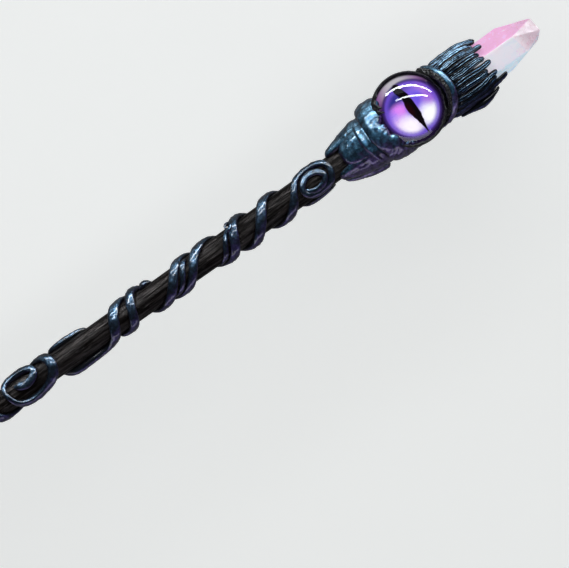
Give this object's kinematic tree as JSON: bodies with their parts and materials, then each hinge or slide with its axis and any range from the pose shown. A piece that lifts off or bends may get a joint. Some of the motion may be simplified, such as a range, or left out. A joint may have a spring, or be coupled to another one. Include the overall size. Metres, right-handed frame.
{
  "type": "magic wand",
  "caption": "Wooden magic wand wound with clay vines; its clay head holds a glass slit-pupil eye and a faceted crystal point.",
  "frame": {"origin": "centre of the shaft's butt end, on the shaft's axis", "axes": "+X along the shaft from the butt to the crystal's tip, +Z the way the eye looks, +Y to the left of someone who looks from the butt to the tip with the eye up"},
  "size_m": [0.33, 0.0273, 0.0241],
  "materials": {
    "stained_wood": "dark stained, satin oiled, long open grain",
    "vine_clay": "black polymer clay rubbed with blue and violet mica powder, varnished",
    "leaf_clay": "black polymer clay rubbed with teal and violet mica powder, varnished",
    "lid_clay": "black polymer clay rubbed with ice blue, teal and violet mica powder, varnished",
    "dark_clay": "bare black polymer clay, rough",
    "backing_clay": "plain black polymer clay",
    "iris_print": "printed violet iris with a black slit pupil",
    "eye_glass": "clear polished glass dome",
    "adhesive": "clear to milky two-part adhesive",
    "crystal": "translucent quartz point, pink to milky white to pale aqua, satin faces",
    "collar_clay": "black polymer clay rubbed with blue mica powder, varnished"
  },
  "bodies": {
    "root": {"shaft": "stained_wood", "vine_a": "vine_clay", "vine_b": "vine_clay", "vine_c": "vine_clay", "vine_d": "vine_clay", "tendril_mid": "vine_clay", "tendril_curl": "vine_clay", "tendril_top": "vine_clay", "tendril_neck": "vine_clay", "leaf_front": "leaf_clay", "leaf_upper": "leaf_clay", "leaf_lower": "leaf_clay", "leaf_under": "leaf_clay", "leaf_back_lower": "leaf_clay", "leaf_back": "leaf_clay", "leaf_back_upper": "leaf_clay", "rear_fold": "lid_clay", "rear_lid": "lid_clay", "front_band": "lid_clay", "head_core": "dark_clay", "front_inner_band": "dark_clay", "eye_bezel": "dark_clay", "eye_bed": "backing_clay", "iris_print": "iris_print", "eye_glass": "eye_glass", "crystal_adhesive": "adhesive", "crystal_point": "crystal", "collar_over_strand": "collar_clay", "collar_strand_01": "collar_clay", "collar_strand_02": "collar_clay", "collar_strand_03": "collar_clay", "collar_strand_04": "collar_clay", "collar_strand_05": "collar_clay", "collar_strand_06": "collar_clay", "collar_strand_07": "collar_clay", "collar_strand_08": "collar_clay", "collar_strand_09": "collar_clay", "collar_strand_10": "collar_clay", "collar_strand_11": "collar_clay", "collar_strand_12": "collar_clay", "collar_strand_13": "collar_clay", "collar_strand_14": "collar_clay", "collar_strand_15": "collar_clay", "collar_strand_16": "collar_clay", "collar_strand_17": "collar_clay", "collar_strand_18": "collar_clay", "collar_strand_19": "collar_clay", "collar_strand_20": "collar_clay", "collar_strand_21": "collar_clay", "collar_strand_22": "collar_clay", "collar_strand_23": "collar_clay", "collar_strand_24": "collar_clay"}
  },
  "joints": []
}
